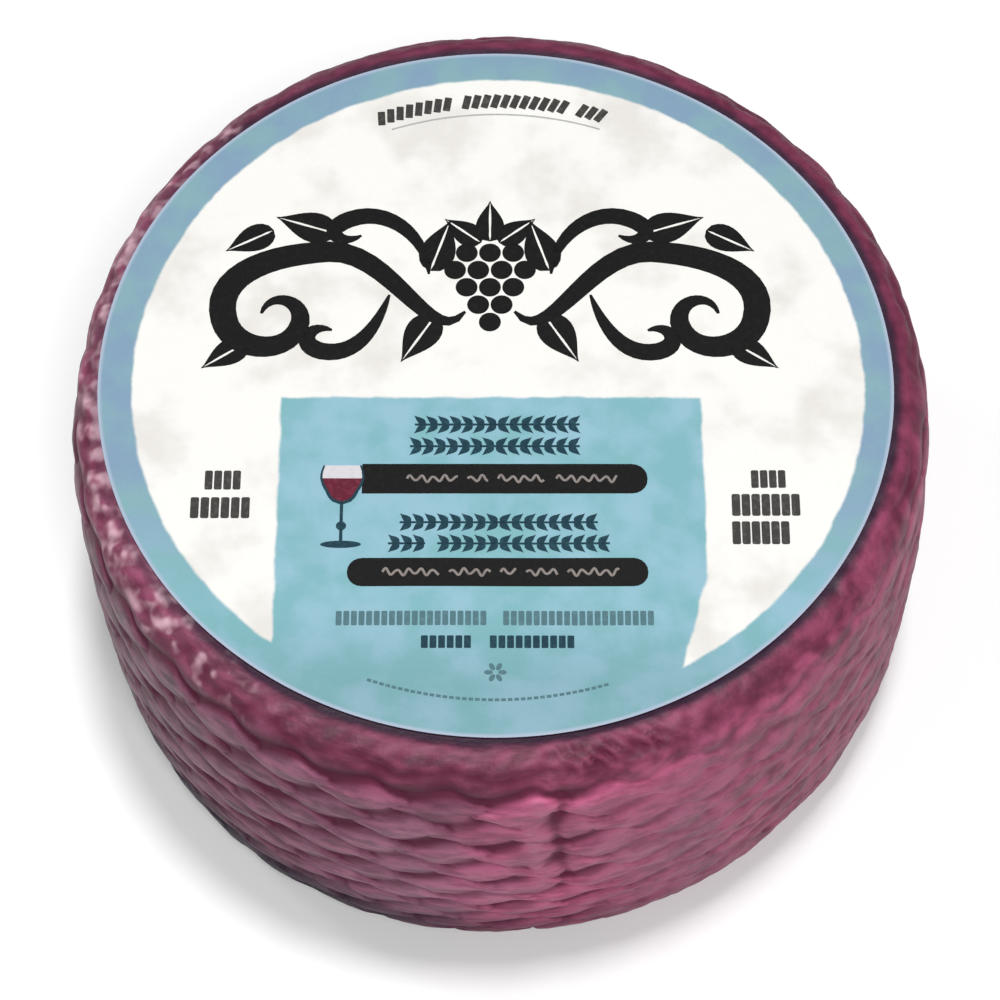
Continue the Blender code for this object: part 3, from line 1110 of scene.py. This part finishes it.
def leaf_halves(centre, length, width, angle):
    """The paths of a leaf's two halves, on either side of its rib."""
    along = Vector((math.cos(math.radians(angle)), math.sin(math.radians(angle)), 0))
    across = Vector((-along.y, along.x, 0))
    halves = []
    for side in (-1, 1):
        path = []
        for step in range(LEAF_STEPS + 1):
            share = step / LEAF_STEPS
            offset = leaf_width(width, share) / 4 + RIB_GAP / 2 * math.sin(math.pi * share)
            path.append(Vector((*centre, 0)) + along * length * (share - 0.5) + across * offset * side)
        halves.append(path)
    return halves


# %% Draw the vine
VINE_MIDDLE = Vector((-1.2, 21.0, 0))
STEM = [
    (5, -6), (12, -16), (20, 9), (33, 8.5), (45, 8), (57, 3), (54, -8),
    (52, -16), (40, -17), (38.5, -8.5), (38, -3), (45, -1), (46.5, -6.5),
]
SHOOTS = [
    [(12.5, 3.0), (13, 12), (21, 20), (29, 16.5), (35, 14), (31, 9.5), (26.5, 12.5)],
    [(20.5, -2.0), (23, -10), (27, -17), (34, -15.5), (39.5, -14), (36.5, -8.5), (32, -10.5)],
]
LEAVES = [
    ((10.2, 10.0), 13, 7.0, 108), ((38.0, 15.0), 13, 7.0, 18), ((49.5, 11.2), 11, 6.0, -28),
    ((14.5, -12.5), 13, 7.0, -58), ((53.6, -16.4), 11, 5.6, -34),
]
CROWN_LEAVES = [((0, 16.0), 10, 5.6, 90), ((-5.6, 13.6), 9.5, 5.2, 142), ((5.6, 13.6), 9.5, 5.2, 38)]
GRAPE = 4.5
BUNCH_ROWS = (3, 4, 3, 2, 1)
BUNCH_TOP = 8.2


def draw_leaf(ink, leaf, mirror=1):
    centre, length, width, angle = leaf
    for path in leaf_halves(centre, length, width, angle):
        placed = [Vector((mirror * point.x, point.y, 0)) + VINE_MIDDLE for point in path]
        ink.stroke(placed, lambda share: max(0.1, leaf_width(width, share) / 2))


def draw_vine(ink):
    for mirror in (1, -1):
        lines = [(STEM, pen(5.6, 0.6, 0.8))] + [(shoot, pen(4.0, 0.5)) for shoot in SHOOTS]
        for handles, width in lines:
            points = [Vector((mirror * point.x, point.y, 0)) + VINE_MIDDLE for point in curve_points(handles)]
            ink.stroke(points, width)
        for leaf in LEAVES:
            draw_leaf(ink, leaf, mirror)
    for leaf in CROWN_LEAVES:
        draw_leaf(ink, leaf)
    for number, count in enumerate(BUNCH_ROWS):
        for index in range(count):
            x = (index - (count - 1) / 2) * GRAPE * 1.06
            y = BUNCH_TOP - number * GRAPE * 0.93
            ink.disc((VINE_MIDDLE.x + x, VINE_MIDDLE.y + y), (GRAPE, GRAPE))


vine = Ink()
draw_vine(vine)
vine_piece = vine.lay("ink_vine", inks["black"])
print("vine:", len(vine_piece.data.polygons), "faces")

# %% [markdown]
# ## The label: garlands, bars and rows
#
# Below the vine, the panel holds two black bars with round ends. Each lies under a double garland of
# small leaves and carries a fine wavy line. Under them come two rows of short upright ticks, a small
# rosette and a dotted arc. Two small groups of ticks stand on the white to each side, and a chain of
# slanted ticks follows the top of the ring. The rows give the label its rhythm without any lettering.

# %% Rows of small shapes
GARLAND_LEAN = math.radians(42)


def garland(ink, left, right, y, height, pairs, skip=()):
    """Pointed leaves in pairs along a stalk. They grow from the middle to both ends."""
    pitch = (right - left) / pairs
    length = 0.5 * height / math.sin(GARLAND_LEAN)
    for index in range(pairs):
        if index in skip:
            continue
        x = left + pitch * (index + 0.5)
        outward = 1 if index >= pairs / 2 else -1
        ink.bar((x, y), (pitch * 1.02, height * 0.12))
        for side in (1, -1):
            along = Vector((outward * math.cos(GARLAND_LEAN), side * math.sin(GARLAND_LEAN), 0))
            foot = Vector((x - outward * 0.4 * pitch, y, 0))
            path = [foot + along * length * step / 8 for step in range(9)]
            ink.stroke(path, lambda share: max(0.08, leaf_width(0.62 * pitch, share)))


def ticks(ink, left, right, y, height, count, share, skip=()):
    """Short upright bars. The share says how much of the pitch each one fills."""
    pitch = (right - left) / count
    for index in range(count):
        if index not in skip:
            ink.bar((left + pitch * (index + 0.5), y), (pitch * share, height), 0.08 * height)


def arc_ticks(ink, radius, first, last, count, size, lean=0.0, skip=()):
    """Bars along an arc round the label's middle, between two angles in degrees."""
    for index in range(count):
        if index not in skip:
            angle = math.radians(first + (last - first) * (index + 0.5) / count)
            centre = (radius * math.cos(angle), radius * math.sin(angle))
            ink.bar(centre, size, 0.1 * min(size), angle - math.pi / 2 + lean)


def arc_line(ink, radius, first, last, width):
    """A thin line along an arc round the label's middle, between two angles in degrees."""
    angles = [math.radians(first + (last - first) * step / 40) for step in range(41)]
    points = [Vector((radius * math.cos(angle), radius * math.sin(angle), 0)) for angle in angles]
    ink.stroke(points, lambda share: width)


def wavy_line(ink, left, right, y, wavelength=2.3, swing=0.85, width=0.50):
    """A fine wavy pen line, whose waves grow and shrink."""
    steps = round((right - left) / wavelength * 12)
    points = []
    for step in range(steps + 1):
        x = left + (right - left) * step / steps
        height = swing * (0.72 + 0.28 * math.sin(1.7 * x))
        points.append(Vector((x, y + height * math.sin(FULL_TURN * (x - left) / wavelength), 0)))
    ink.stroke(points, lambda share: width)


# %% Bars and their wavy lines
UPPER_BAR_Y, LOWER_BAR_Y = -24.0, -44.8

bars = Ink()
bars.bar((1.8, UPPER_BAR_Y), (56.4, 6.7), 3.1, rounded_from=0.5)
bars.bar((0.4, LOWER_BAR_Y), (58.6, 6.2), 2.9)
bars_piece = bars.lay("ink_bars", inks["black"])

pale = Ink()
for left, right in ((-17.5, -7.5), (-5.5, -1.5), (0.5, 9.5), (12, 24)):
    wavy_line(pale, left, right, UPPER_BAR_Y)
for left, right in ((-22, -11), (-9, -1), (1, 4), (6, 12), (14, 24)):
    wavy_line(pale, left, right, LOWER_BAR_Y)
pale_piece = pale.lay("ink_pale_lines", inks["pale"], lift=2.2 * INK_LIFT + INK_THICKNESS)

# %% Garlands, rows and the small marks
PETALS, PETAL_REACH, PETAL_SIZE, ROSETTE_Y = 6, 1.35, (1.7, 1.0), -66.4

slate = Ink()
garland(slate, -16.1, 16.7, -11.6, 4.1, 14)
garland(slate, -17.0, 16.7, -16.6, 4.1, 14)
garland(slate, -18.8, 20.0, -33.8, 3.9, 16)
garland(slate, -21.0, 22.3, -38.5, 3.9, 18, skip=(3,))
ticks(slate, -14.5, 15.3, -59.9, 2.7, 18, 0.80, skip=(6, 7))
slate_piece = slate.lay("ink_garlands", inks["slate"])

grey = Ink()
ticks(grey, -31.0, 30.7, -54.8, 3.1, 42, 0.78, skip=(20, 21))
arc_ticks(grey, 72.2, -110.0, -72.5, 38, (0.9, 0.6))
for index in range(PETALS):
    angle = FULL_TURN * index / PETALS
    centre = (PETAL_REACH * math.cos(angle), ROSETTE_Y + PETAL_REACH * math.sin(angle))
    grey.disc(centre, PETAL_SIZE, sides=12, turn=angle)
grey_piece = grey.lay("ink_grey_rows", inks["grey"])

haze = Ink()
arc_line(haze, 64.0, 110.0, 70.0, 0.4)
haze_piece = haze.lay("ink_haze_line", inks["haze"])

side_marks = Ink()
arc_ticks(side_marks, 67.4, 111.8, 70.0, 24, (1.55, 3.5), lean=-0.30, skip=(8, 20))
ticks(side_marks, -57.6, -50.2, -24.3, 4.3, 4, 0.84)
ticks(side_marks, -60.2, -48.2, -30.5, 4.7, 6, 0.84)
ticks(side_marks, 50.3, 57.4, -24.1, 4.0, 4, 0.84)
ticks(side_marks, 46.3, 60.0, -29.9, 4.9, 7, 0.86)
ticks(side_marks, 46.2, 57.7, -36.1, 5.1, 6, 0.86)
side_piece = side_marks.lay("ink_side_marks", inks["shade"])
print("bars, garlands, rows and marks are laid")

# %% The wine glass
GLASS_X, GLASS_RIM, BOWL_DEPTH, BOWL_WIDTH = -30.3, -21.0, 8.6, 8.6
WINE_SHARE = 0.34
KNOB_PLACE, KNOB_SIZE = (GLASS_X, -34.6), (2.0, 2.0)
GLASS_FOOT_PLACE, GLASS_FOOT_SIZE = (GLASS_X, -38.7), (8.0, 1.6)


def bowl_width(share):
    """The bowl's width from its rim to its point: widest a third of the way down."""
    swell = 0.86 + 0.14 * math.sin(math.pi * min(1.0, share * 1.5))
    return BOWL_WIDTH * swell * math.sqrt(max(0.0, 1 - share**3))


def bowl_slice(ink, first, last, shrink):
    """Part of the bowl, from one share of its depth to another, a little narrower than the glass."""
    shares = [first + (last - first) * step / 10 for step in range(11)]
    points = [Vector((GLASS_X, GLASS_RIM - BOWL_DEPTH * share, 0)) for share in shares]
    ink.stroke(points, lambda part: max(0.3, bowl_width(first + (last - first) * part) - shrink))


glass = Ink()
bowl_slice(glass, 0.0, WINE_SHARE, 0.6)
wine = Ink()
bowl_slice(wine, WINE_SHARE, 0.97, 0.6)
holder = Ink()
for mirror in (-1, 1):
    wall = []
    for step in range(13):
        beside = mirror * (bowl_width(step / 12) / 2 - 0.1)
        wall.append(Vector((GLASS_X + beside, GLASS_RIM - BOWL_DEPTH * step / 12, 0)))
    holder.stroke(wall, lambda share: 0.35 + 0.35 * share)
stem = [Vector((GLASS_X, GLASS_RIM - BOWL_DEPTH + 0.4 - step, 0)) for step in range(10)]
holder.stroke(stem, lambda share: 0.65)
holder.disc(KNOB_PLACE, KNOB_SIZE)
holder.disc(GLASS_FOOT_PLACE, GLASS_FOOT_SIZE)
glass_pieces = [
    glass.lay("ink_glass", inks["glass"]),
    wine.lay("ink_wine", inks["wine"]),
    holder.lay("ink_glass_outline", inks["slate"], lift=1.5 * INK_LIFT + INK_THICKNESS),
]
print("glass:", [piece.name for piece in glass_pieces])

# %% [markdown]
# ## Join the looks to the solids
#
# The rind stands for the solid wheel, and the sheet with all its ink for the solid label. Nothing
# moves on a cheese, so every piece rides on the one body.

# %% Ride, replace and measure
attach(rind, "root")
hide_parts("cheese_wheel")
ink_pieces = [vine_piece, bars_piece, pale_piece, slate_piece, grey_piece, haze_piece, side_piece]
for piece in [sheet, *ink_pieces, *glass_pieces]:
    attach(piece, "root")
    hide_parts("paper_label")

shown_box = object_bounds()
for name, (low, high) in (("solids", solid_box), ("looks", shown_box)):
    print(name, "measure", [round((high[axis] - low[axis]) / MM, 2) for axis in range(3)], "mm")
